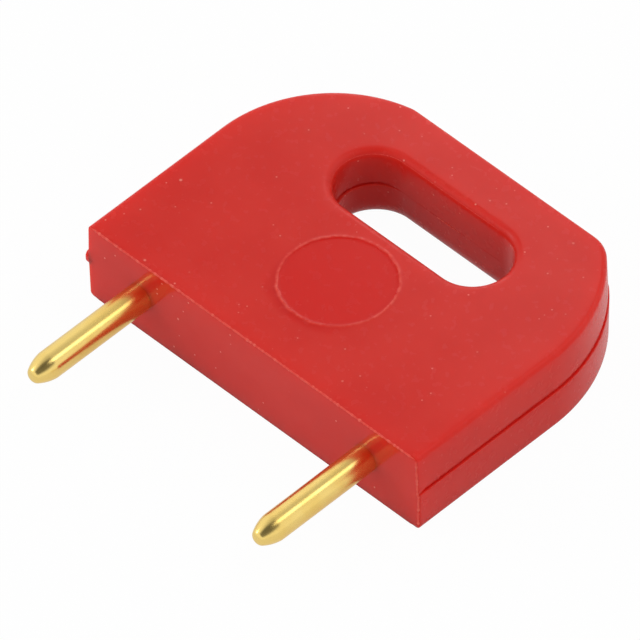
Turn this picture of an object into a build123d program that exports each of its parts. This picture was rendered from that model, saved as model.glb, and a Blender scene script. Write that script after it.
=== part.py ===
"""Jumper shunt: a U-shaped link of round wire moulded into a flat plastic grip with a finger slot.

X runs along the pitch, -Y is the way the pins point, and Z is up through the thickness.
The origin is the middle of the base face, which seats on the socket strip.
"""

import os
from math import atan, degrees, radians, sin, tan

from build123d import *

# Link wire
pitch = 10.16  # between the two pin axes
wire_diameter = 1.0
pin_length = 4.95  # from the base face to the tip
nose_length = 0.7  # tapered lead-in at the tip
tip_diameter = 0.54
tip_round = 0.16  # rounding of the blunt end
bend_radius = 3.2  # at the wire's middle line; each bend starts at the base face

# Grip outline
side_margin = 2.39  # from a pin axis to the side of the grip
base_web = 6.42  # from the base face to the slot
slot_width = 2.6
slot_length = 7.08
core_offset = 0.12  # the slot and the ejector's mark sit this far towards +X from the middle
crown_bar = 2.03  # from the slot to the flat crown
left_radius = 5.0
left_turn = 78.4  # degrees that the left corner turns through before the flat crown cuts it off
right_radius = 6.05
right_turn = 52.4  # the right corner is cut off sooner, so it stands fuller
crown_round = 1.3  # softens the angles between the corners and the crown
thickness = 3.3

# Mould details
draft = 1.4  # degrees, on every wall that a mould half pulls away from
outer_round = 0.2  # around the two broad faces
slot_round = 0.3  # around the slot's upper mouth
lower_slot_round = 1.0  # around its lower mouth
parting_bevel = 0.08  # each half's edge at the parting line
mould_offset = 0.05  # the lower half sits this far towards +X
ejector_diameter = 3.95
ejector_from_base = 3.83  # to the middle of the round mark
ejector_depth = 0.04
gate_diameter = 0.5  # stub left where the runner broke off
gate_proud = 0.14
gate_from_base = 0.05  # between the stub and the base face

# Sizes that follow from those above
width = pitch + 2 * side_margin
height = base_web + slot_width + crown_bar
half_thickness = thickness / 2
left_start = height - left_radius * sin(radians(left_turn))
right_start = height - right_radius * sin(radians(right_turn))
slot_centre = base_web + slot_width / 2
shank_length = pin_length - nose_length
nose_taper = degrees(atan((wire_diameter - tip_diameter) / 2 / nose_length))
gate_centre = gate_from_base + gate_diameter / 2
draft_run = half_thickness * tan(radians(draft))  # how far a wall leans over one half

# Each half is drawn past the base face and cut off square there
base_stock = outer_round + parting_bevel + 2 * draft_run


# The link is one wire: two straight pins, two bends and the bridge between them
with BuildPart() as link_wire:
    with BuildSketch(Plane.XZ) as shank_section:
        with GridLocations(pitch, 0, 2, 1):
            Circle(wire_diameter / 2)
    extrude(amount=shank_length)

    # tapered noses with blunt rounded ends
    with BuildSketch(Plane.XZ.offset(shank_length)):
        add(shank_section.sketch_local)
    extrude(amount=nose_length, taper=nose_taper)
    fillet(link_wire.edges().group_by(Axis.Y)[0], radius=tip_round)

    # the bends and the bridge, hidden inside the grip
    with BuildLine(Plane.XY) as bridge_path:
        first_bend = CenterArc((bend_radius - pitch / 2, 0), bend_radius, 180, -90)
        last_bend = CenterArc((pitch / 2 - bend_radius, 0), bend_radius, 90, -90)
        Line(first_bend @ 1, last_bend @ 0)
    with BuildSketch(Plane.XZ):
        with Locations((-pitch / 2, 0)):
            Circle(wire_diameter / 2)
    sweep(path=bridge_path.wires()[0])

link_wire.part.label = "link_wire"


# One mould half of the grip, from the parting plane up to its broad face
with BuildPart() as mould_half:
    with BuildSketch(Plane.XY):
        with BuildLine():
            base = Line((-width / 2, -base_stock), (width / 2, -base_stock))
            left_corner = CenterArc((left_radius - width / 2, left_start), left_radius, 180, -left_turn)
            right_corner = CenterArc((width / 2 - right_radius, right_start), right_radius, 0, right_turn)
            Line(base @ 0, left_corner @ 0)
            Line(base @ 1, right_corner @ 0)
            Line(left_corner @ 1, right_corner @ 1)
        make_face()
        fillet(vertices().group_by(Axis.Y)[-1], radius=crown_round)
    extrude(amount=half_thickness, taper=draft)
    fillet(faces().sort_by(Axis.Z)[-1].edges(), radius=outer_round)

    # half of the finger slot, opening towards the broad face
    with BuildSketch(Plane.XY):
        with Locations((core_offset, slot_centre)):
            SlotOverall(slot_length, slot_width)
    extrude(amount=half_thickness, taper=-draft, mode=Mode.SUBTRACT)

    # the worn edge where this half met the other
    chamfer(faces().sort_by(Axis.Z)[0].edges(), length=parting_bevel)

    # the base face was shut off by a square block
    split(bisect_by=Plane.XZ, keep=Keep.BOTTOM)


# The grip: both halves, closed around the wire
with BuildPart() as grip_body:
    add(mould_half.part)
    with Locations((mould_offset, 0, 0)):
        add(mirror(mould_half.part, about=Plane.XY, mode=Mode.PRIVATE))

    # the slot's mouths, the lower one rounded more widely
    fillet(faces().sort_by(Axis.Z)[-1].inner_wires().edges(), radius=slot_round)
    fillet(faces().sort_by(Axis.Z)[0].inner_wires().edges(), radius=lower_slot_round)

    # round mark of the ejector pin on the upper broad face
    with BuildSketch(Plane.XY.offset(half_thickness)):
        with Locations((core_offset, ejector_from_base)):
            Circle(ejector_diameter / 2)
    extrude(amount=-ejector_depth, mode=Mode.SUBTRACT)

    # stub of the gate on the parting line, beside the base
    with BuildSketch(Plane.YZ.offset(-width / 2 - gate_proud)):
        with Locations((gate_centre, 0)):
            Circle(gate_diameter / 2)
    extrude(amount=gate_proud + gate_diameter)

    # the wire's own bed
    add(link_wire.part, mode=Mode.SUBTRACT)

grip_body.part.label = "grip_body"


os.makedirs("parts", exist_ok=True)
export_step(link_wire.part, "parts/link_wire.step")
export_step(grip_body.part, "parts/grip_body.step")
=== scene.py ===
# %% [markdown]
# # Jumper shunt
#
# The object is a small link plug: a flat red plastic grip, moulded around one U-bent gold-plated wire whose
# two legs stick out as pins. It lies on one broad face, as a loose part lies on a bench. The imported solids
# are loaded first and never changed. Everything below is worked out in their frame: X along the pitch of
# the pins, -Y the way the pins point, Z up through the thickness. Sizes of the part are written in
# millimetres and turned to metres where a mesh is made. Angles are in degrees.

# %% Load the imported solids
import math

import bmesh
import bpy
import numpy as np
from mathutils import Matrix, Vector


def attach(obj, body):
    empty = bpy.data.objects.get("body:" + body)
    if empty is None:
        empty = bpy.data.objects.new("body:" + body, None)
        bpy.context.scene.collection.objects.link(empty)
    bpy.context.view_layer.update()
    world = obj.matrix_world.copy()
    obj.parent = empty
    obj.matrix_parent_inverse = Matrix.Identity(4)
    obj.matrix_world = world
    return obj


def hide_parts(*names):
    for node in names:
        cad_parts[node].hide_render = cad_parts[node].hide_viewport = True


MM = 0.001

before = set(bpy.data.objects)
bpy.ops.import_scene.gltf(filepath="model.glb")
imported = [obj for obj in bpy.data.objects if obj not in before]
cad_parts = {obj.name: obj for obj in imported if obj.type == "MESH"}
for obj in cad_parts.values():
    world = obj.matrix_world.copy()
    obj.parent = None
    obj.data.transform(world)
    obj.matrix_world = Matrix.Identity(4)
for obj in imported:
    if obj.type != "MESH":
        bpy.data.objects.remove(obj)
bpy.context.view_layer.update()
print("solids:", sorted(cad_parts))

# %% [markdown]
# ## Camera
#
# The picture was taken from far away with a long lens, so its parallel edges stay almost parallel. A camera
# is easiest to place by what it looks at: an aim point on the part, a direction given by azimuth and
# elevation, a distance, and a slight roll. Moving back along that line and lengthening the lens keeps the
# framing.

# %% Camera
AIM = Vector((0.618, 2.484, 1.203)) * MM
AZIMUTH, ELEVATION, ROLL = 45.599, 47.127, -1.287
DISTANCE = 0.7  # metres
LENS, SENSOR_WIDTH = 1227.3, 36  # millimetres

camera = bpy.data.objects.new("camera", bpy.data.cameras.new("camera"))
bpy.context.scene.collection.objects.link(camera)
camera.data.sensor_width = SENSOR_WIDTH
camera.data.lens = LENS
camera.matrix_world = (
    Matrix.Translation(AIM)
    @ Matrix.Rotation(math.radians(AZIMUTH), 4, "Z")
    @ Matrix.Rotation(math.radians(90 - ELEVATION), 4, "X")
    @ Matrix.Rotation(math.radians(ROLL), 4, "Z")
    @ Matrix.Translation((0, 0, DISTANCE))
)
bpy.context.scene.camera = camera
print("camera at", [round(v, 4) for v in camera.matrix_world.translation], "lens", LENS)

# %% [markdown]
# ## Outline of the grip
#
# Seen from above, the grip is a plate with a straight base, two straight sides, two large corner rounds and
# a flat crown that cuts the corners off. The left corner turns further than the right one before the crown
# meets it. A hand could draw this with a curve object, but here the outline is an array: each run or arc
# gives points and outward normals, and the whole loop is the pieces laid end to end. Later cells push the
# loop inwards along those normals to get the draft and the rounds. The loop starts on the base, so that the
# part of the upper face in front of the slot is one block of columns, which the ejector mark will need.

# %% Sizes of the outline
HALF_WIDTH = 14.94 / 2
HEIGHT = 11.046
LEFT_RADIUS, LEFT_TURN = 5.0, 78.4
RIGHT_RADIUS, RIGHT_TURN = 6.05, 52.4
CROWN_ROUND = 1.3
BASE_EDGE = 0.045  # the base was cut off square, so its edges are only just broken
BASE_ENDS = 0.4  # the last stretch of the base, where the side's wider round takes over
BLOCK = 3.2  # half the width of the block of columns in front of the slot


def run(start, end, count, normal):
    """A straight run: points that step evenly from start towards end, the end left to the next piece."""
    step = np.linspace(0, 1, count, endpoint=False)[:, None]
    points = np.array(start) * (1 - step) + np.array(end) * step
    return np.hstack([points, np.tile(normal, (count, 1))])


def arc(middle, radius, first, last, count):
    """An arc: middle + radius * (cos a, sin a) for angles a from first to last.

    The normal at each point is (cos a, sin a)."""
    a = np.radians(np.linspace(first, last, count, endpoint=False))
    normal = np.stack([np.cos(a), np.sin(a)], 1)
    return np.hstack([np.array(middle) + radius * normal, normal])


def crown_corner(radius, turn):
    """Where a corner of that radius starts, and the angle at which the small crown round takes over from it.

    The small round touches the crown from below and the corner from inside, so its middle is CROWN_ROUND
    under the crown and radius - CROWN_ROUND from the corner's middle."""
    start = HEIGHT - radius * math.sin(math.radians(turn))
    meet = math.degrees(math.asin((HEIGHT - CROWN_ROUND - start) / (radius - CROWN_ROUND)))
    reach = (radius - CROWN_ROUND) * math.cos(math.radians(meet))
    return start, meet, reach


left_start, left_meet, left_reach = crown_corner(LEFT_RADIUS, LEFT_TURN)
right_start, right_meet, right_reach = crown_corner(RIGHT_RADIUS, RIGHT_TURN)
left_middle = LEFT_RADIUS - HALF_WIDTH
right_middle = HALF_WIDTH - RIGHT_RADIUS
print("corners: left starts at", round(left_start, 3), "mm, right at", round(right_start, 3), "mm")

# %% Points and normals around the grip
BLOCK_STEPS, BASE_STEPS, END_STEPS, EDGE_STEPS = 96, 24, 10, 6
STRAIGHT_STEPS, CORNER_STEPS = 60, 64
RIGHT_CROWN_STEPS, LEFT_CROWN_STEPS = 18, 10
DOWN, EAST, UP, WEST = (0, -1), (1, 0), (0, 1), (-1, 0)

base_end = HALF_WIDTH - BASE_EDGE
near_end = HALF_WIDTH - BASE_ENDS
crown_low = HEIGHT - CROWN_ROUND
right_top, left_top = right_middle + right_reach, left_middle - left_reach

block_run = run((-BLOCK, 0), (BLOCK, 0), BLOCK_STEPS, DOWN)
base_right = [
    run((BLOCK, 0), (near_end, 0), BASE_STEPS, DOWN),
    run((near_end, 0), (base_end, 0), END_STEPS, DOWN),
]
right_edge = arc((base_end, BASE_EDGE), BASE_EDGE, -90, 0, EDGE_STEPS)
right_side = [
    run((HALF_WIDTH, BASE_EDGE), (HALF_WIDTH, right_start), STRAIGHT_STEPS, EAST),
    arc((right_middle, right_start), RIGHT_RADIUS, 0, right_meet, CORNER_STEPS),
    arc((right_top, crown_low), CROWN_ROUND, right_meet, 90, RIGHT_CROWN_STEPS),
]
crown = run((right_top, HEIGHT), (left_top, HEIGHT), STRAIGHT_STEPS, UP)
left_side = [
    arc((left_top, crown_low), CROWN_ROUND, 90, 180 - left_meet, LEFT_CROWN_STEPS),
    arc((left_middle, left_start), LEFT_RADIUS, 180 - left_meet, 180, CORNER_STEPS),
    run((-HALF_WIDTH, left_start), (-HALF_WIDTH, BASE_EDGE), STRAIGHT_STEPS, WEST),
    arc((-base_end, BASE_EDGE), BASE_EDGE, 180, 270, EDGE_STEPS),
]
base_left = [
    run((-base_end, 0), (-near_end, 0), END_STEPS, DOWN),
    run((-near_end, 0), (-BLOCK, 0), BASE_STEPS, DOWN),
]
loop = np.vstack([block_run, *base_right, right_edge, *right_side, crown, *left_side, *base_left])
rim, outward = loop[:, :2], loop[:, 2:]
block_last = len(block_run)
side_first = block_last + sum(map(len, base_right)) + len(right_edge)
crown_first = side_first + sum(map(len, right_side))
crown_last = crown_first + len(crown)
print("outline:", len(rim), "points, crown from", rim[crown_first].round(2), "to", rim[crown_last].round(2))

# %% [markdown]
# ## Finger slot
#
# The slot is a stadium: two straight edges and two half circles. Each point of the outer loop needs a
# partner on the slot, so that the broad faces can be ruled between the two. The partner is found by length:
# the block of columns goes to the slot's near edge, the crown to its far edge, and the sides share out the
# round ends.

# %% Partner of each outline point on the slot
SLOT_LENGTH, SLOT_WIDTH = 7.08, 2.6
BASE_WEB = 6.42  # from the base to the slot
CORE_OFFSET = 0.12  # the slot and the ejector mark sit a little to the right of the middle

slot_middle = BASE_WEB + SLOT_WIDTH / 2
slot_edge = SLOT_LENGTH - SLOT_WIDTH
slot_radius = SLOT_WIDTH / 2
half_turn = math.pi * slot_radius
slot_lengths = np.cumsum([0, slot_edge, half_turn, slot_edge, half_turn])


def slot_at(p):
    """Middle-line point and outward normal of the stadium at length p from the left end of its near edge.

    Along an edge the point slides and the normal stays; round an end the point stays and the normal turns by
    p / radius."""
    right, left = CORE_OFFSET + slot_edge / 2, CORE_OFFSET - slot_edge / 2
    x = np.interp(p, slot_lengths, [left, right, right, left, left])
    a = np.radians(np.interp(p, slot_lengths, [-90, -90, 90, 90, 270]))
    normal = np.stack([np.cos(a), np.sin(a)], 1)
    return np.stack([x, np.full_like(x, slot_middle)], 1), normal


steps = np.linalg.norm(np.roll(rim, -1, 0) - rim, axis=1)
along = np.concatenate([[0], np.cumsum(steps)])
turns = along[[0, block_last, crown_first, crown_last, len(rim)]]
slot_line, slot_outward = slot_at(np.interp(along[:-1], turns, slot_lengths))
print("slot: middle at", round(slot_middle, 3), "mm, perimeter", round(slot_lengths[-1], 2), "mm")

# %% [markdown]
# ## The moulding as one closed surface
#
# A moulding like this is two mould halves' worth of plastic: walls with draft, rounds at the broad faces,
# wider rounds at the mouths of the slot, and a groove where the halves met. The upper half curls under
# there, and the lower half sits a little to the right, so its edge stands out as a ledge. A box with bevels
# would need many repairs, so the surface is one grid instead: columns run around the outline, and rows run
# around the section, up the outer wall, over the face, down the slot and back. The groove fades out just
# before the base, which a square block shut off.

# %% Shares of each column
HALF_THICK = 1.65
OUTER_ROUND = 0.2
GROOVE_FADE = 0.3  # the groove deepens over this length from the base
TINY = 1e-9


def smooth(t):
    """A soft step from 0 to 1: t * t * (3 - 2 t), with t held between 0 and 1."""
    t = np.clip(t, 0, 1)
    return t * t * (3 - 2 * t)


on_base = (np.abs(rim[:, 1]) < BASE_EDGE + TINY) & (outward[:, 1] < 0)
base_inward = np.stack([-rim[:, 0] / HALF_WIDTH, np.zeros(len(rim))], 1)
inward = np.where(on_base[:, None], base_inward, -outward)
groove_share = smooth((rim[:, 1] - BASE_EDGE) / GROOVE_FADE)
base_share = np.where(on_base, outward[:, 1] ** 2, 0.0)
end_share = np.where(on_base, smooth((np.abs(rim[:, 0]) - near_end) / (HALF_WIDTH - near_end)), 1.0)
edge_round = BASE_EDGE + (OUTER_ROUND - BASE_EDGE) * end_share
side_share = np.stack([outward[:, 0] ** 2, np.where(on_base, 0, outward[:, 0] * outward[:, 1])], 1)
print("columns on the base:", int(on_base.sum()), "of", len(rim))

# %% Rows of the outer wall
DRAFT = math.tan(math.radians(1.4))  # every wall that a mould half pulls away from leans by this
CURL_STEPS, ROUND_STEPS = 8, 9
WALL_SHARES = np.array([0.33, 0.67, 1])[:, None]

curl = np.radians(np.linspace(90, 0, CURL_STEPS))[:, None]
bend_over = np.radians(np.linspace(0, 90, ROUND_STEPS))[1:, None]


def outer_rows(face, curl_height, curl_depth, shift):
    """Rows of the outer wall from the parting plane to the face, as an array (rows, columns, xyz).

    The edge at the parting plane is a quarter of an ellipse; up the wall the outline moves inwards by
    z * DRAFT; over the round it moves in by r * (1 - cos a) while z rises by r * sin a."""
    wide = np.ones(len(rim))
    curl_z = curl_height * (1 - np.sin(curl)) * wide
    curl_in = curl_z * DRAFT + curl_depth * (1 - np.cos(curl)) * groove_share
    wall_z = curl_height + WALL_SHARES * (face - edge_round - curl_height)
    round_z = face - edge_round * (1 - np.sin(bend_over))
    round_in = ((face - OUTER_ROUND) * DRAFT + OUTER_ROUND * (1 - np.cos(bend_over))) * wide
    z = np.vstack([curl_z, wall_z, round_z])
    depth = np.vstack([curl_in, wall_z * DRAFT, round_in])
    upright = np.zeros((len(curl) + len(WALL_SHARES), 1))
    lean = np.vstack([upright, BASE_EDGE * (1 - np.cos(bend_over))]) * base_share
    flat = rim + depth[..., None] * inward + lean[..., None] * UP + shift * side_share
    return np.dstack([flat, z])


# %% Rows of the slot
MOUTH_STEPS, SLOT_WALL_STEPS = 13, 5


def slot_rows(face, mouth, seam, curl_height, curl_deep, shift):
    """Rows of the slot from the face to the seam: the mouth's round, then the wall, then the curled edge.

    Round the mouth the slot widens by r * (1 - cos a) while z falls by r * (1 - sin a), and down the wall it
    widens by z * DRAFT. curl_deep holds, for each column, how far the curled edge goes into the wall."""
    a = np.linspace(math.pi / 2, 0, MOUTH_STEPS)
    round_z = face - mouth * (1 - np.sin(a))
    wall_z = np.linspace(round_z[-1], seam + curl_height, SLOT_WALL_STEPS)[1:-1]
    curl_z = seam + curl_height * (1 - np.sin(curl[::-1, 0]))
    z = np.concatenate([round_z, wall_z, curl_z])
    grow = np.maximum(z, 0) * DRAFT
    grow[: len(a)] += mouth * (1 - np.cos(a))
    bend_in = np.zeros((len(z), len(rim)))
    bend_in[-len(curl) :] = (1 - np.cos(curl[::-1])) * curl_deep
    spread = (slot_radius + grow[:, None] + bend_in)[..., None] * slot_outward
    moved = shift * slot_outward[:, :1] * slot_outward
    return np.dstack([slot_line + spread + moved, np.repeat(z[:, None], len(rim), 1)])


# %% Grid of the moulding
UPPER_MOUTH, LOWER_MOUTH = 0.3, 1.0  # rounds at the two mouths of the slot
CURL_HEIGHT, CURL_DEPTH = 0.32, 0.06  # the upper half's edge at the parting plane, outside
SLOT_CURL_HEIGHT, SLOT_CURL_DEPTH = 0.22, 0.07  # the same edge in the slot
SLOT_SEAM = 0.14  # the two cores of the slot met this far over the parting plane
SEAM_END, SEAM_FADE = 0.05, 0.7  # its groove is full at the slot's left end, and gone at its right end
LEDGE = 0.03  # the lower half's broken edge
MOULD_OFFSET = 0.044  # the lower half sits this far to the right
FACE_DROP = 0.02  # the upper face lies this much under the burrs that stand on it
FACE_ROWS = 24
TURNED_OVER = [1, 1, -1]


def ruled(start, end, count):
    """Rows between two loops: start * (1 - t) + end * t, the two loops themselves left out."""
    t = np.linspace(0, 1, count + 1)[1:-1, None, None]
    return start * (1 - t) + end * t


upper_face = HALF_THICK - FACE_DROP
slot_groove = smooth((SEAM_END - slot_outward[:, 0]) / SEAM_FADE)
slot_deep, slot_ledge = SLOT_CURL_DEPTH * slot_groove, LEDGE * slot_groove
upper_outer = outer_rows(upper_face, CURL_HEIGHT, CURL_DEPTH, 0.0)
upper_slot = slot_rows(upper_face, UPPER_MOUTH, SLOT_SEAM, SLOT_CURL_HEIGHT, slot_deep, 0.0)
lower_outer = outer_rows(HALF_THICK, LEDGE, LEDGE, MOULD_OFFSET) * TURNED_OVER
lower_slot = slot_rows(HALF_THICK, LOWER_MOUTH, -SLOT_SEAM, LEDGE, slot_ledge, MOULD_OFFSET) * TURNED_OVER
upper_rows = ruled(upper_outer[-1], upper_slot[0], FACE_ROWS)
lower_rows = ruled(lower_slot[0], lower_outer[-1], FACE_ROWS)
grid = np.vstack([upper_outer, upper_rows, upper_slot, lower_slot[::-1], lower_rows, lower_outer[::-1]])
face_first = len(upper_outer) - 1
face_last = face_first + FACE_ROWS
print("moulding grid:", grid.shape[0], "rows of", grid.shape[1], "columns")

# %% [markdown]
# ## Ejector mark
#
# A round pin of the mould pushed the warm part out, and left a shallow disc with a thin torn burr around
# it. The burr is at most two hundredths of a millimetre high, but light catches it, so it has to be real
# geometry. The block of columns in front of the slot is left out of the face and filled with rings instead:
# they start on the block's own edge, close in on the circle, climb the burr, drop into the disc and run
# flat to the middle. On the side of the base, the face is creased just outside the burr.

# %% Spokes and random lines
MARK_RADIUS = 1.975
MARK_MIDDLE = np.array([CORE_OFFSET, 3.83])
SEED = 11

rng = np.random.default_rng(SEED)
columns = np.arange(block_last + 1)
fence = np.concatenate(
    [
        grid[face_first, columns],
        grid[face_first + 1 : face_last, block_last],
        grid[face_last, columns[::-1]],
        grid[face_last - 1 : face_first : -1, 0],
    ]
)
spoke = fence[:, :2] - MARK_MIDDLE
angle = np.arctan2(spoke[:, 1], spoke[:, 0])
ray = np.stack([np.cos(angle), np.sin(angle)], 1)


def wander(angle, waves):
    """A random line from -1 to 1: sines of whole wave numbers, each with a random size and phase, summed."""
    k = np.arange(1, waves + 1)[:, None]
    size = rng.normal(size=(waves, 1))
    phase = rng.uniform(0, 2 * np.pi, (waves, 1))
    line = (size * np.sin(k * angle + phase)).sum(0)
    return line / np.abs(line).max()


print("ejector mark:", len(fence), "spokes")

# %% Rings of the ejector mark
MARK_DEPTH = 0.03
BURR_MEAN, BURR_SLOW, BURR_QUICK, BURR_LEAST = 0.55, 0.35, 0.45, 0.06  # shares of the full height
BURR_SWAY = 0.02  # how far its path strays from the circle
BURR_PROFILE = np.array(  # across the burr: how far out, share of its height, of the disc's depth, whiteness
    [
        (0.09, 0.0, 0.0, 0.0),
        (0.055, 0.25, 0.0, 0.25),
        (0.03, 0.8, 0.0, 0.6),
        (0.0, 1.0, 0.0, 0.6),
        (-0.03, 0.55, 0.0, 0.3),
        (-0.05, 0.0, 0.75, 0.0),
        (-0.08, 0.0, 1.0, 0.0),
    ]
)
CREASE_WAY, CREASE_DEPTH = -110, 0.012  # the crease is deepest towards the base
FIELD_RINGS = 6
DISC_SHARES = np.array([0.93, 0.7, 0.42, 0.16, 0.0])[:, None]

burr_out, burr_lift, burr_sink, burr_white = BURR_PROFILE.T[..., None]
burr_ragged = BURR_MEAN + BURR_SLOW * wander(angle, waves=5) + BURR_QUICK * wander(angle, waves=60)
burr_share = np.clip(burr_ragged, BURR_LEAST, 1.0)
burr_path = MARK_RADIUS + BURR_SWAY * wander(angle, waves=26)
burr_rings = MARK_MIDDLE + (burr_path + burr_out)[..., None] * ray
burr_z = upper_face + burr_lift * FACE_DROP * burr_share - MARK_DEPTH * burr_sink
crease = smooth(np.cos(angle - math.radians(CREASE_WAY)))
burr_z[0] -= CREASE_DEPTH * crease

field = np.linspace(0, 1, FIELD_RINGS, endpoint=False)[:, None, None]
field_rings = fence[:, :2] * (1 - field) + burr_rings[0] * field
field_z = np.full(field_rings.shape[:2], upper_face)
disc_rings = MARK_MIDDLE + (DISC_SHARES * MARK_RADIUS)[..., None] * ray
disc_z = np.full(disc_rings.shape[:2], upper_face - MARK_DEPTH)
mark_flat = np.vstack([field_rings, burr_rings, disc_rings])
mark_grid = np.dstack([mark_flat, np.vstack([field_z, burr_z, disc_z])])
print("ejector mark:", mark_grid.shape[0], "rings, burr up to", round(FACE_DROP * burr_share.max(), 4), "mm")

# %% [markdown]
# ## From arrays to a mesh
#
# A grid becomes faces by joining each point to its neighbours in the next column and row. Where two grids
# share an edge, or a ring shrinks to a point, the doubled points are merged, which also drops faces that
# have no area. Edges that turn by more than about 40 degrees stay sharp in the shading, and all others are
# smooth. Each point may carry marks, numbers that the material reads.

# %% Helpers that make a mesh
MERGE = 1e-8  # metres


def grid_faces(rows, columns, close_rows, close_columns, first=0):
    """Quads of a grid: corners (r, c), (r, c + 1), (r + 1, c + 1), (r + 1, c), wrapped where it closes."""
    r = np.arange(rows if close_rows else rows - 1)
    c = np.arange(columns if close_columns else columns - 1)
    r, c = (i.ravel() for i in np.meshgrid(r, c, indexing="ij"))
    r2, c2 = (r + 1) % rows, (c + 1) % columns
    return np.stack([r * columns + c, r * columns + c2, r2 * columns + c2, r2 * columns + c], 1) + first


def make_piece(name, points, faces, marks=None, sharp=40):
    """A piece that rides on the body, from points in millimetres and quads; marks hold a value per point."""
    mesh = bpy.data.meshes.new(name)
    mesh.from_pydata((points * MM).tolist(), [], faces.tolist())
    for label, values in (marks or {}).items():
        attribute = mesh.attributes.new(label, "FLOAT", "POINT")
        attribute.data.foreach_set("value", np.asarray(values, np.float32))
    form = bmesh.new()
    form.from_mesh(mesh)
    bmesh.ops.remove_doubles(form, verts=form.verts, dist=MERGE)
    bmesh.ops.recalc_face_normals(form, faces=form.faces)
    form.to_mesh(mesh)
    form.free()
    mesh.polygons.foreach_set("use_smooth", np.ones(len(mesh.polygons), bool))
    mesh.set_sharp_from_angle(angle=math.radians(sharp))
    piece = bpy.data.objects.new(name, mesh)
    bpy.context.scene.collection.objects.link(piece)
    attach(piece, "root")
    print(name, len(mesh.vertices), "points", len(mesh.polygons), "faces")
    return piece


# %% [markdown]
# ## The red moulding and its marks
#
# The finish of the moulding isn't the same all over, and painting it by hand would not follow a change of
# size. So the rows and columns that made the shape also say where the finish changes: how far the burr is
# whitened, whether it is in the ejector's disc, and whether it is on the base, which is glossier because a
# polished block shut it off. They also say how deep a point lies in a groove or crease, and there shade is
# painted into the colour as a deeper red.

# %% Marks on the moulding
rows, columns_around = grid.shape[:2]
curl_mark = np.linspace(1, 0, CURL_STEPS)[:, None]
seam_row = face_last + len(upper_slot) - 1
# Painted shade: a deeper red in the curled groove of the parting line, where that hollow lies in shade
groove_shade_mark = np.zeros((rows, columns_around))
groove_shade_mark[:CURL_STEPS] = curl_mark * groove_share
groove_shade_mark[-1] = groove_share
groove_shade_mark[seam_row - CURL_STEPS + 1 : seam_row + 1] = curl_mark[::-1] * slot_groove
polish_mark = np.tile(np.where(on_base, base_share, 0.0), (rows, 1))
polish_mark[face_first : rows - face_first] = 0.0

burr_rows = slice(FIELD_RINGS, FIELD_RINGS + len(BURR_PROFILE))
burr_mark, crease_shade_mark, disc_mark = (np.zeros(mark_grid.shape[:2]) for _ in range(3))
burr_mark[burr_rows] = burr_white * burr_share
# Painted shade: the crease outside the burr is darkened in colour as well as sunk
crease_shade_mark[FIELD_RINGS] = crease
disc_mark[burr_rows] = burr_sink > 0
disc_mark[burr_rows.stop :] = 1.0
print("marked points: groove", int((groove_shade_mark > 0).sum()), "disc", int(disc_mark.sum()))

# %% The red moulding
body_faces = grid_faces(rows, columns_around, True, True)
at_row = np.repeat(np.arange(rows), columns_around)
at_column = np.tile(np.arange(columns_around), rows)
in_block = (at_row >= face_first) & (at_row < face_last) & (at_column < block_last)
mark_faces = grid_faces(*mark_grid.shape[:2], False, True, first=rows * columns_around)
plain_body, plain_mark = np.zeros(groove_shade_mark.size), np.zeros(burr_mark.size)
grip = make_piece(
    "red_moulding",
    np.vstack([grid.reshape(-1, 3), mark_grid.reshape(-1, 3)]),
    np.vstack([body_faces[~in_block], mark_faces]),
    {
        # groove: painted shade, in the parting line's groove and the crease beside the ejector's burr
        "groove": np.concatenate([groove_shade_mark.ravel(), crease_shade_mark.ravel()]),
        "burr": np.concatenate([plain_body, burr_mark.ravel()]),
        "disc": np.concatenate([plain_body, disc_mark.ravel()]),
        "polish": np.concatenate([polish_mark.ravel(), plain_mark]),
    },
)
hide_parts("grip_body")

# %% [markdown]
# ## Stub of the gate
#
# Plastic entered the mould through a small gate on the parting line, beside the base. When the runner was
# broken off, a short stub with an uneven end stayed behind. It is a surface of rings, like a turned knob:
# each ring has a distance from the wall and a share of the radius, a fourth power makes it squarer than a
# circle, and a random line makes it uneven.

# %% Gate stub
GATE_RADIUS = 0.25
GATE_MIDDLE = (0.25, 0.0)  # Y and Z
GATE_SIDES = 48
GATE_PROFILE = np.array(  # from the root to the broken end: how proud, and the share of the radius
    [(-0.2, 1.0), (0.0, 1.0), (0.08, 1.0), (0.115, 0.98), (0.132, 0.93), (0.138, 0.8), (0.13, 0.0)]
)
GATE_POWER = 4
GATE_UNEVEN, GATE_TILT = 0.07, 0.1  # how much its radius varies, and how much of that its length does
GATE_TORN, GATE_WHITE = 0.9, 0.25  # rings narrower than the first share are whitened by the second

gate_proud, gate_share = GATE_PROFILE.T
gate_angle = np.linspace(0, 2 * np.pi, GATE_SIDES, endpoint=False)
gate_cos, gate_sin = np.cos(gate_angle), np.sin(gate_angle)
gate_uneven = 1 + GATE_UNEVEN * wander(gate_angle, waves=7)
gate_square = (gate_cos**GATE_POWER + gate_sin**GATE_POWER) ** (-1 / GATE_POWER)
gate_radius = GATE_RADIUS * gate_share[:, None] * gate_square * np.minimum(gate_uneven, 1.0)
gate_x = -HALF_WIDTH - gate_proud[:, None] * (1 - GATE_TILT + GATE_TILT * gate_uneven)
gate_y = GATE_MIDDLE[0] + gate_radius * gate_cos
gate_z = GATE_MIDDLE[1] + gate_radius * gate_sin
gate_grid = np.dstack([gate_x, gate_y, gate_z])
gate_faces = grid_faces(*gate_grid.shape[:2], False, True)
gate_marks = {"burr": np.repeat(GATE_WHITE * (gate_share < GATE_TORN), GATE_SIDES)}
gate = make_piece("gate_stub", gate_grid.reshape(-1, 3), gate_faces, gate_marks)

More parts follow.
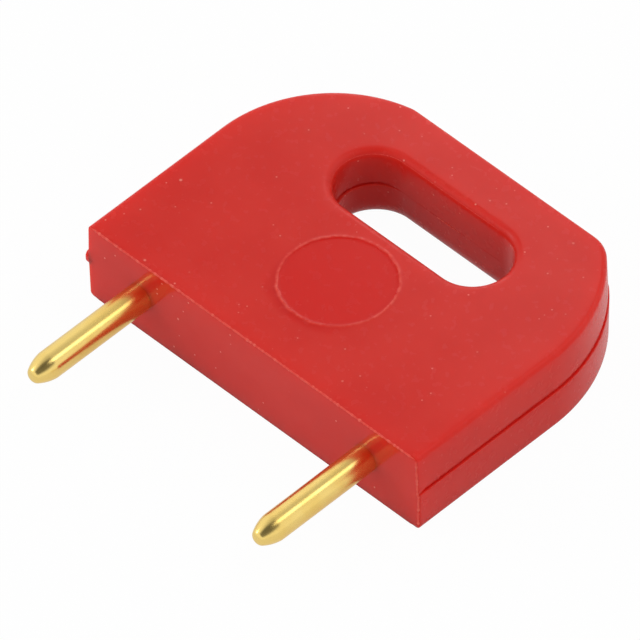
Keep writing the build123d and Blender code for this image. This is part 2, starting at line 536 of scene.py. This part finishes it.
# %% [markdown]
# ## Flash on the edges
#
# Where two faces of the mould met, a little plastic crept out and left a ragged thread: along the upper
# edge of the base, down the upright corner beside it, on the ledge of the parting line, and at the slot's
# seam and rim. It is far too thin for a bevel, so each thread is a tube that follows its edge, with a
# radius that a random line keeps changing.

# %% Threads of flash
THREAD_SIDES = 8
THREAD_ENDS = 40  # a thread thins out over one part in this many of its length, at each end
THREAD_FAINT = 0.15  # whiteness where it is thinnest
X_WAY, Y_WAY, Z_WAY = (1, 0, 0), (0, 1, 0), (0, 0, 1)


def tube(path, side, up, radius, around):
    """A round tube: path + r * (cos a * side + sin a * up), with a going once around."""
    a = np.linspace(0, 2 * np.pi, around, endpoint=False)[None, :, None]
    across = np.cos(a) * np.asarray(side)[..., None, :] + np.sin(a) * np.asarray(up)[..., None, :]
    return path[:, None] + radius[:, None, None] * across


def flash(name, path, side, up, thin, thick, waves, power):
    """A ragged thread along a path: its radius goes from thin to thick with a power of a random line.

    It shrinks to 0 at both ends, and it is whitest where it is thickest."""
    t = np.linspace(0, 1, len(path))
    ragged = (0.5 + 0.5 * wander(2 * np.pi * t, waves)) ** power
    radius = (thin + (thick - thin) * ragged) * smooth(THREAD_ENDS * np.minimum(t, 1 - t))
    points = tube(path, side, up, radius, THREAD_SIDES)
    whitened = np.repeat(THREAD_FAINT + (1 - THREAD_FAINT) * ragged, THREAD_SIDES)
    faces = grid_faces(*points.shape[:2], False, True)
    return make_piece(name, points.reshape(-1, 3), faces, {"burr": whitened})


# %% Flash on the base edge and its corner
EDGE_SINK, EDGE_STOP, EDGE_SWAY = 0.035, 0.02, 0.008  # under the face, short of its ends, to and fro
CORNER_SINK, CORNER_LOW = 0.06, -1.45  # from the upper face down to this height
CORNER_INSET, CORNER_BACK = 0.05, 0.004  # in from the side, and in from the base
CORNER_STEP = 0.08  # the height over which it steps out to the lower half
EDGE_POINTS, CORNER_POINTS = 900, 260

base_x = np.linspace(EDGE_STOP - base_end, base_end - EDGE_STOP, EDGE_POINTS)
base_y = EDGE_SWAY * wander(base_x, waves=40)
base_path = np.stack([base_x, base_y, np.full_like(base_x, upper_face - EDGE_SINK)], 1)
base_flash = flash(
    "base_edge_flash", base_path, Y_WAY, Z_WAY, thin=0.024, thick=0.055, waves=110, power=1.8
)

corner_z = np.linspace(upper_face - CORNER_SINK, CORNER_LOW, CORNER_POINTS)
corner_out = MOULD_OFFSET * smooth(-corner_z / CORNER_STEP) - np.abs(corner_z) * DRAFT - CORNER_INSET
corner_path = np.stack([HALF_WIDTH + corner_out, np.full_like(corner_z, CORNER_BACK), corner_z], 1)
corner_flash = flash(
    "corner_edge_flash", corner_path, X_WAY, Y_WAY, thin=0.024, thick=0.06, waves=26, power=1.8
)

# %% Flash on the ledge of the parting line
LEDGE_SKIP = 2  # columns beside the base that the thread leaves free
LEDGE_SINK = 0.014  # how far it lies in the wall
LONG_POINTS = 700


def resample(line, count):
    """The same line with evenly spaced points: every column is interpolated over the length run so far."""
    length = np.concatenate([[0], np.cumsum(np.linalg.norm(np.diff(line[:, :3], axis=0), axis=1))])
    even = np.linspace(0, length[-1], count)
    return np.stack([np.interp(even, length, column) for column in line.T], 1)


def flat_sides(line):
    """The outward normals that a line carries in its last two columns, with a Z of 0 added."""
    return np.hstack([line[:, 3:], np.zeros((len(line), 1))])


ledge_columns = np.arange(side_first + LEDGE_SKIP, crown_first)
ledge_row = lower_outer[CURL_STEPS - 1, ledge_columns]
ledge_line = resample(np.hstack([ledge_row, outward[ledge_columns]]), LONG_POINTS)
ledge_side = flat_sides(ledge_line)
ledge_path = ledge_line[:, :3] - LEDGE_SINK * ledge_side
parting_flash = flash(
    "parting_flash", ledge_path, ledge_side, Z_WAY, thin=0.008, thick=0.018, waves=120, power=1
)

# %% Flash in the slot
SEAM_LEFT, SEAM_RIGHT, SEAM_POINTS = -0.56, 0.48, 120
RIM_ROW = 8  # of the mouth's rows, where the round turns into the wall
RIM_STOP = 12  # columns before the loop closes

seam_x = np.linspace(SEAM_LEFT, SEAM_RIGHT, SEAM_POINTS)
far_wall = slot_middle + slot_radius
seam_path = np.stack([seam_x, np.full_like(seam_x, far_wall), np.full_like(seam_x, SLOT_SEAM)], 1)
seam_flash = flash(
    "slot_seam_flash", seam_path, Y_WAY, Z_WAY, thin=0.006, thick=0.018, waves=12, power=1
)

rim_columns = np.arange(crown_first, len(rim) - RIM_STOP)
rim_row = upper_slot[RIM_ROW, rim_columns]
rim_line = resample(np.hstack([rim_row, slot_outward[rim_columns]]), LONG_POINTS)
rim_side = flat_sides(rim_line)
rim_flash = flash(
    "slot_rim_flash", rim_line[:, :3], rim_side, Z_WAY, thin=0.002, thick=0.011, waves=90, power=1.5
)

# %% [markdown]
# ## The gold-plated wire
#
# One wire makes both pins: it runs from one tip up into the grip, turns through two bends that the plastic
# hides, and comes back to the other tip. A tube with a round section, carried along that path, is all it
# takes. Near each end its radius shrinks to a blunt nose, which guides the pin into its socket. The nose is
# three arcs that touch: a small one around the tip, a long belly and a soft shoulder. Along an arc of
# radius r the height above the tip grows by r times the change of the sine of the lean, and the wire's
# radius by r times the change of its cosine.

# %% Radius of a pin, from its tip to the base
WIRE_RADIUS = 0.5
PIN_LENGTH = 4.95
NOSE_ARCS = ((0.22, 90, 30), (1.7, 30, 9), (0.8, 9, 0))  # radius and lean at both ends: tip, belly, shoulder
NOSE_STEPS, SHANK_STEPS = 9, 17

nose_radii = [arc_radius for arc_radius, _, _ in NOSE_ARCS]
nose_leans = [np.radians(np.linspace(first, last, NOSE_STEPS)) for _, first, last in NOSE_ARCS]
drop_steps = [r * -np.diff(np.sin(lean)) for r, lean in zip(nose_radii, nose_leans)]
wide_steps = [r * np.diff(np.cos(lean)) for r, lean in zip(nose_radii, nose_leans)]
nose_drop = np.concatenate([[0], np.cumsum(np.concatenate(drop_steps))])
nose_wide = np.concatenate([[0], np.cumsum(np.concatenate(wide_steps))])
nose_radius = WIRE_RADIUS - nose_wide[-1] + nose_wide
shank_drop = np.linspace(nose_drop[-1], PIN_LENGTH, SHANK_STEPS)[1:]
end_drop = np.concatenate([[0], nose_drop, shank_drop])
end_radius = np.concatenate([[0], nose_radius, np.full(len(shank_drop), WIRE_RADIUS)])
print("nose:", round(nose_drop[-1], 3), "mm long, blunt end of radius", round(nose_radius[0], 3), "mm")

# %% The wire
PITCH = 10.16
BEND_RADIUS = 3.2
BEND_STEPS, WIRE_SIDES = 19, 96

bend = np.linspace(0, 90, BEND_STEPS)[1:]
bend_ray = np.stack([-np.cos(np.radians(bend)), np.sin(np.radians(bend))], 1)
bend_middle = np.array([BEND_RADIUS - PITCH / 2, 0])
leg = np.stack([np.full(len(end_drop), -PITCH / 2), end_drop - PIN_LENGTH], 1)
half_path = np.vstack([leg, bend_middle + BEND_RADIUS * bend_ray])
half_heading = np.concatenate([np.full(len(leg), 90.0), 90 - bend])
half_radius = np.concatenate([end_radius, np.full(len(bend), WIRE_RADIUS)])
wire_flat = np.vstack([half_path, (half_path * [-1, 1])[::-1]])
wire_path = np.hstack([wire_flat, np.zeros((len(wire_flat), 1))])
heading = np.radians(np.concatenate([half_heading, -half_heading[::-1]]))
wire_side = np.stack([np.sin(heading), -np.cos(heading), np.zeros_like(heading)], 1)
wire_radius = np.concatenate([half_radius, half_radius[::-1]])
wire_grid = tube(wire_path, wire_side, Z_WAY, wire_radius, WIRE_SIDES)
wire_faces = grid_faces(*wire_grid.shape[:2], False, True)
wire = make_piece("gold_wire", wire_grid.reshape(-1, 3), wire_faces, sharp=60)
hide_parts("link_wire")

# %% [markdown]
# ## Nodes in code
#
# A material is a small graph. A few helpers keep the cells below short: they make a node and fill in its
# settings, turn a value from one range into another with a soft step, multiply two values, lay a colour
# over another, and give noise and marks to work with. Patterns are placed in millimetres on the object
# itself, so they stay where they are when the part moves.


# %% Helpers that make nodes
def node(tree, kind, **settings):
    """A new node of that kind with some of its settings filled in."""
    made = tree.nodes.new(kind)
    for key, value in settings.items():
        setattr(made, key, value)
    return made


def soft_range(tree, value, span, target):
    """value from the range span to the range target, with a smooth step between their ends."""
    made = node(tree, "ShaderNodeMapRange", interpolation_type="SMOOTHSTEP")
    tree.links.new(value, made.inputs["Value"])
    for key, number in zip(("From Min", "From Max", "To Min", "To Max"), (*span, *target)):
        made.inputs[key].default_value = number
    return made.outputs["Result"]


def product(tree, first, second):
    """Two values multiplied."""
    made = node(tree, "ShaderNodeMath", operation="MULTIPLY")
    tree.links.new(first, made.inputs[0])
    tree.links.new(second, made.inputs[1])
    return made.outputs["Value"]


def overlay(tree, factor, below, colour):
    """colour laid over what is below it, as strongly as factor says; below is a colour or a node's output."""
    made = node(tree, "ShaderNodeMix", data_type="RGBA")
    below_in, over_in, mixed = made.inputs[6], made.inputs[7], made.outputs[2]  # its sockets for colours
    tree.links.new(factor, made.inputs[0])
    if isinstance(below, tuple):
        below_in.default_value = (*below, 1)
    else:
        tree.links.new(below, below_in)
    over_in.default_value = (*colour, 1)
    return mixed


# %% Helpers that place a pattern
NOISE_SPAN = (0.35, 0.65)  # what most of a cloudy noise lies between


def millimetres(tree, stretch=(1, 1, 1)):
    """Object coordinates in millimetres, stretched along each axis if asked."""
    place = node(tree, "ShaderNodeTexCoord")
    scale = node(tree, "ShaderNodeMapping")
    scale.inputs["Scale"].default_value = [s / MM for s in stretch]
    tree.links.new(place.outputs["Object"], scale.inputs["Vector"])
    return scale.outputs["Vector"]


def noise(tree, place, scale, detail):
    """Cloudy noise with that many blobs to the millimetre."""
    made = node(tree, "ShaderNodeTexNoise")
    made.inputs["Scale"].default_value = scale
    made.inputs["Detail"].default_value = detail
    tree.links.new(place, made.inputs["Vector"])
    return made.outputs["Fac"]


def mark(tree, name):
    """The value that each point of the mesh carries under that name."""
    return node(tree, "ShaderNodeAttribute", attribute_name=name).outputs["Fac"]


def rough_normal(tree, height, strength, distance, shader):
    """The shader's normal, tilted as if the height stood out by that distance in millimetres."""
    bump = node(tree, "ShaderNodeBump")
    bump.inputs["Strength"].default_value = strength
    bump.inputs["Distance"].default_value = distance * MM
    tree.links.new(height, bump.inputs["Height"])
    tree.links.new(bump.outputs["Normal"], shader.inputs["Normal"])


# %% [markdown]
# ## Colour of the red plastic
#
# A satin moulding compound. The colour is mottled very faintly, pale specks lie in the skin, the torn burr
# is whitened, and the ejector's disc is a shade deeper. Shade is painted in too: the groove of the parting
# line and the crease beside the burr get a deeper red where those hollows lie in shade. Each of these is a
# colour laid over the one before it, as strongly as a noise, a cell pattern or a mark says. An image would
# do as well, but a pattern worked out in place needs no unwrapping and stays sharp at any distance.

# %% Ground colour and specks
RED, DEEP_RED = (0.685, 0.029, 0.0195), (0.66, 0.0235, 0.0155)
SPECK = (0.9, 0.3, 0.24)
SPECKS = ((4.2, 0.042, 0.87), (1.8, 0.07, 0.88))  # cells to the millimetre, radius and rarity
SPECK_CORE, SPECK_STRENGTH = 0.4, 0.9  # the share of a speck that is full, and how pale that is
RARITY_SPAN = 0.02

red = bpy.data.materials.new("red_moulding")
red.use_nodes = True
tree = red.node_tree
skin = tree.nodes["Principled BSDF"]
place = millimetres(tree)
mottle = soft_range(tree, noise(tree, place, scale=0.45, detail=3), NOISE_SPAN, (0, 1))
colour = overlay(tree, mottle, RED, DEEP_RED)


def specks(scale, size, rarity):
    """Round specks: within size of a cell's own point, in those cells whose random shade is over rarity."""
    cells = node(tree, "ShaderNodeTexVoronoi")
    cells.inputs["Scale"].default_value = scale
    tree.links.new(place, cells.inputs["Vector"])
    shade = node(tree, "ShaderNodeSeparateColor")
    tree.links.new(cells.outputs["Color"], shade.inputs["Color"])
    reach = size * scale
    near = soft_range(tree, cells.outputs["Distance"], (SPECK_CORE * reach, reach), (1, 0))
    chosen = soft_range(tree, shade.outputs["Red"], (rarity, rarity + RARITY_SPAN), (0, SPECK_STRENGTH))
    return product(tree, near, chosen)


pale = []
for scale, size, rarity in SPECKS:
    pale.append(specks(scale, size, rarity))
    colour = overlay(tree, pale[-1], colour, SPECK)

# %% Colour of the marks
# The first colour is painted shade, for the groove of the parting line and the crease beside the burr
GROOVE_SHADE_RED, DISC_RED, TORN = (0.62, 0.016, 0.012), (0.675, 0.014, 0.009), (0.9, 0.17, 0.13)
BROKEN_SPAN, BROKEN_LEAST = (0.38, 0.6), 0.25  # the burr's whiteness comes and goes with a noise

# Painted shade: the groove mark lays that deeper red where the hollows lie in shade
colour = overlay(tree, mark(tree, "groove"), colour, GROOVE_SHADE_RED)
colour = overlay(tree, mark(tree, "disc"), colour, DISC_RED)
broken = soft_range(tree, noise(tree, place, scale=6, detail=2), BROKEN_SPAN, (BROKEN_LEAST, 1))
pale.append(product(tree, mark(tree, "burr"), broken))
colour = overlay(tree, pale[-1], colour, TORN)
tree.links.new(colour, skin.inputs["Base Color"])
print("red moulding:", len(tree.nodes), "nodes for its colour")

# %% [markdown]
# ## Gloss and depth of the red plastic
#
# Light goes into the plastic a little way and comes out again, so corners look soft and edges glow. That is
# the subsurface part of the shader: red light travels furthest, a little over a millimetre. Specks and torn
# burrs lie on the skin and have none of that depth. The gloss is weak and slightly uneven, and the polished
# base has the smoothest skin, so that the pins mirror in it.

# %% Gloss and depth
SHINE = 0.16
DEPTH_WEIGHT = 0.75
DEPTH_SCALE, DEPTH_REACH = 1.4, (1.0, 0.2, 0.12)  # millimetres, and the share of it for red, green and blue
DEPTH_LOST = 0.6  # from this whiteness on there is no depth
SATIN = (0.255, 0.275)
POLISH = 0.25  # roughness of the base, as a share of the rest

skin.inputs["Specular IOR Level"].default_value = SHINE
depth = soft_range(tree, pale[0], (0, 1), (DEPTH_WEIGHT, 0))
for torn in pale[1:]:
    depth = product(tree, depth, soft_range(tree, torn, (0, DEPTH_LOST), (1, 0)))
tree.links.new(depth, skin.inputs["Subsurface Weight"])
skin.inputs["Subsurface Radius"].default_value = DEPTH_REACH
skin.inputs["Subsurface Scale"].default_value = DEPTH_SCALE * MM
satin = soft_range(tree, noise(tree, place, scale=3.0, detail=4), NOISE_SPAN, SATIN)
satin = product(tree, satin, soft_range(tree, mark(tree, "polish"), (0, 1), (1, POLISH)))
tree.links.new(satin, skin.inputs["Roughness"])
rough_normal(tree, noise(tree, place, scale=14, detail=3), strength=0.09, distance=0.004, shader=skin)
for piece in (grip, gate):
    piece.data.materials.append(red)
print("red moulding:", len(tree.nodes), "nodes in all")

# %% [markdown]
# ## Torn flash
#
# The threads of flash are thinner than the depth that light reaches in the plastic, so they need a shader
# without that depth. Torn plastic is paler than the skin, and it is paler still where a thread is thick.

# %% Torn flash material
TORN_RED, TORN_PALE = (0.78, 0.05, 0.036), (0.9, 0.18, 0.135)
PATCHY_SPAN, PATCHY_LEAST = (0.4, 0.6), 0.4  # its whiteness comes and goes with a noise too
TORN_ROUGHNESS, TORN_SHINE = 0.5, 0.2

torn_flash = bpy.data.materials.new("torn_flash")
torn_flash.use_nodes = True
tree = torn_flash.node_tree
rag = tree.nodes["Principled BSDF"]
clouds = noise(tree, millimetres(tree), scale=5, detail=2)
patchy = product(tree, mark(tree, "burr"), soft_range(tree, clouds, PATCHY_SPAN, (PATCHY_LEAST, 1)))
tree.links.new(overlay(tree, patchy, TORN_RED, TORN_PALE), rag.inputs["Base Color"])
rag.inputs["Roughness"].default_value = TORN_ROUGHNESS
rag.inputs["Specular IOR Level"].default_value = TORN_SHINE
for piece in (base_flash, corner_flash, parting_flash, seam_flash, rim_flash):
    piece.data.materials.append(torn_flash)
print("torn flash:", len(tree.nodes), "nodes")

# %% [markdown]
# ## Gold plating
#
# Bright gold on drawn wire: a metal with a smooth surface that mirrors the room, the floor and the red
# base. Only faint lines run along it, left by the drawing die, and here and there the plating is a little
# duller. The lines are noise that is stretched along the pins, used as a very shallow bump.

# %% Gold plating material
GOLD, RICH_GOLD = (0.9, 0.66, 0.21), (0.87, 0.61, 0.17)
RICH_SPAN = (0.4, 0.65)
GOLD_ROUGHNESS = (0.22, 0.27)
DRAWN = (1, 0.05, 1)  # the noise is drawn out along the pins

gold = bpy.data.materials.new("gold_plating")
gold.use_nodes = True
tree = gold.node_tree
plate = tree.nodes["Principled BSDF"]
plate.inputs["Metallic"].default_value = 1.0
cloud = noise(tree, millimetres(tree), scale=0.9, detail=3)
rich = soft_range(tree, cloud, RICH_SPAN, (0, 1))
tree.links.new(overlay(tree, rich, GOLD, RICH_GOLD), plate.inputs["Base Color"])
tree.links.new(soft_range(tree, cloud, NOISE_SPAN, GOLD_ROUGHNESS), plate.inputs["Roughness"])
drawn_lines = noise(tree, millimetres(tree, DRAWN), scale=12, detail=2)
rough_normal(tree, drawn_lines, strength=0.15, distance=0.003, shader=plate)
wire.data.materials.append(gold)
print("gold plating:", len(tree.nodes), "nodes")

# %% [markdown]
# ## Floor
#
# The part lies on a plain white sheet. The camera should see it as white, and it should still hold a faint
# shadow. So it is a white diffuse floor, mixed with a white glow of strength 1 for the camera's rays.
# Mirrors get a smaller share of that glow, so that the gold shows the white sheet with the part's own shade
# on it, and light that bounces from the floor to the part comes from the diffuse floor only.

# %% Sheet under the part
FLOOR_REACH = 3.0  # metres
FLOOR_GAP = 0.005  # so that no face of the part lies in the floor

corner_signs = np.array([(-1, -1), (1, -1), (1, 1), (-1, 1)])
floor_corners = np.hstack([corner_signs * FLOOR_REACH, np.full((4, 1), (-HALF_THICK - FLOOR_GAP) * MM)])
floor_mesh = bpy.data.meshes.new("floor")
floor_mesh.from_pydata(floor_corners.tolist(), [], [(0, 1, 2, 3)])
floor = bpy.data.objects.new("floor", floor_mesh)
bpy.context.scene.collection.objects.link(floor)
print("floor at", round(floor_corners[0, 2] / MM, 3), "mm")

# %% White floor material
FLOOR_WHITE, FLOOR_ROUGHNESS = 0.88, 0.9
FLOOR_GLOW, MIRRORED_GLOW = 0.97, 0.4

white = bpy.data.materials.new("white_floor")
white.use_nodes = True
tree = white.node_tree
sheet = tree.nodes["Principled BSDF"]
sheet.inputs["Base Color"].default_value = (FLOOR_WHITE, FLOOR_WHITE, FLOOR_WHITE, 1)
sheet.inputs["Roughness"].default_value = FLOOR_ROUGHNESS
sheet.inputs["Specular IOR Level"].default_value = 0.0
glow = node(tree, "ShaderNodeEmission")


def seen_share(tree, direct, mirrored):
    """direct for rays from the camera or through clear things, mirrored for glossy ones, 0 for all others."""
    ray_kind = node(tree, "ShaderNodeLightPath")
    shares = {"Is Camera Ray": direct, "Is Transmission Ray": direct, "Is Glossy Ray": mirrored}
    total = None
    for kind, share in shares.items():
        part = node(tree, "ShaderNodeMath", operation="MULTIPLY_ADD", use_clamp=True)
        part.inputs[1].default_value = share
        part.inputs[2].default_value = 0.0
        tree.links.new(ray_kind.outputs[kind], part.inputs[0])
        if total:
            tree.links.new(total, part.inputs[2])
        total = part.outputs["Value"]
    return total


show = node(tree, "ShaderNodeMixShader")
tree.links.new(seen_share(tree, FLOOR_GLOW, MIRRORED_GLOW), show.inputs["Fac"])
tree.links.new(sheet.outputs["BSDF"], show.inputs[1])
tree.links.new(glow.outputs["Emission"], show.inputs[2])
tree.links.new(show.outputs["Shader"], tree.nodes["Material Output"].inputs["Surface"])
floor.data.materials.append(white)
print("white floor:", len(tree.nodes), "nodes")

# %% [markdown]
# ## The room
#
# Even white light comes from all round, a little stronger from the front and from above, as in a tent of
# white cloth. Mirrors see the room as it is: white around the horizon, greyer overhead, and dark where the
# tent opens for the camera. That gives the gold its dull bands and the small dark spots on the noses. A
# picture of a studio would do this too, but two soft patches on the sky are enough, and their places are
# easy to set.

# %% White tent
TENT_LEVEL = 0.66
TENT_LEAN = (-0.02, -0.03, 0.03)  # what the level gains along each axis
UPPER_WAY, UPPER_SPAN, UPPER_LEVEL = Vector((0.05, 0.2, 0.98)).normalized(), (0.65, 1.05), 0.55
DARK_WAY, DARK_SPAN, DARK_LEVEL = Vector((0.42, -0.25, 0.87)).normalized(), (0.72, 0.93), 0.18

world = bpy.data.worlds.new("studio")
bpy.context.scene.world = world
world.use_nodes = True
room = world.node_tree
way = node(room, "ShaderNodeTexCoord").outputs["Generated"]


def facing(direction):
    """How far a ray goes along a direction: their dot product."""
    made = node(room, "ShaderNodeVectorMath", operation="DOT_PRODUCT")
    made.inputs[1].default_value = direction
    room.links.new(way, made.inputs[0])
    return made.outputs["Value"]


upper = soft_range(room, facing(UPPER_WAY), UPPER_SPAN, (1.0, UPPER_LEVEL))
opening = soft_range(room, facing(DARK_WAY), DARK_SPAN, (1.0, DARK_LEVEL))
tent = node(room, "ShaderNodeMath", operation="ADD")
tent.inputs[1].default_value = TENT_LEVEL
room.links.new(facing(TENT_LEAN), tent.inputs[0])
ray_kind = node(room, "ShaderNodeLightPath")
shown = node(room, "ShaderNodeMath", operation="MAXIMUM")
room.links.new(product(room, upper, opening), shown.inputs[0])
room.links.new(ray_kind.outputs["Is Camera Ray"], shown.inputs[1])
level = node(room, "ShaderNodeMapRange")
room.links.new(ray_kind.outputs["Is Diffuse Ray"], level.inputs["Value"])
room.links.new(shown.outputs["Value"], level.inputs["To Min"])
room.links.new(tent.outputs["Value"], level.inputs["To Max"])
room.nodes["Background"].inputs["Color"].default_value = (1, 1, 1, 1)
room.links.new(level.outputs["Result"], room.nodes["Background"].inputs["Strength"])
print("room:", len(room.nodes), "nodes")

# %% [markdown]
# ## Lamps
#
# One softbox stands high behind the part, to the right: it draws the long bright stripe on the pins. A
# small lamp at the front left draws the thin golden line where the pins mirror in the glossy base. A small
# white card stands close behind the crown, and its blurred mirror image is the pale veil on that end of the
# upper face. The card is an area lamp too, but matt surfaces don't see it.


# %% Softbox, front lamp and card
def area_lamp(name, way, distance, size, radiance, lights_matt):
    """A rectangular lamp that faces the part from that way and distance, with size and distance in metres.

    Its energy is radiance * pi * area, so a larger lamp gives more light but looks no brighter."""
    lamp = bpy.data.objects.new(name, bpy.data.lights.new(name, "AREA"))
    bpy.context.scene.collection.objects.link(lamp)
    lamp.data.shape = "RECTANGLE"
    lamp.data.size, lamp.data.size_y = size
    lamp.data.energy = radiance * math.pi * size[0] * size[1]
    lamp.visible_camera = False
    lamp.visible_diffuse = lights_matt
    way = Vector(way).normalized()
    across = way.cross(Vector(Y_WAY)).normalized()
    turned = Matrix((across, way.cross(across), way)).transposed().to_4x4()
    lamp.matrix_world = Matrix.Translation(way * distance) @ turned
    stand = [round(v, 3) for v in lamp.matrix_world.translation]
    print(name, "at", stand, "energy", round(lamp.data.energy, 4))


area_lamp("softbox", (0.33, 0.476, 0.81), 0.25, (0.085, 0.23), radiance=1.5, lights_matt=True)
area_lamp("front_lamp", (-0.7, -0.48, 0.53), 0.25, (0.08, 0.08), radiance=4.2, lights_matt=True)
area_lamp("crown_card", (-0.465, 0.708, 0.531), 0.0438, (0.03, 0.0136), radiance=1.7, lights_matt=False)
bpy.context.scene.view_settings.view_transform = "Standard"
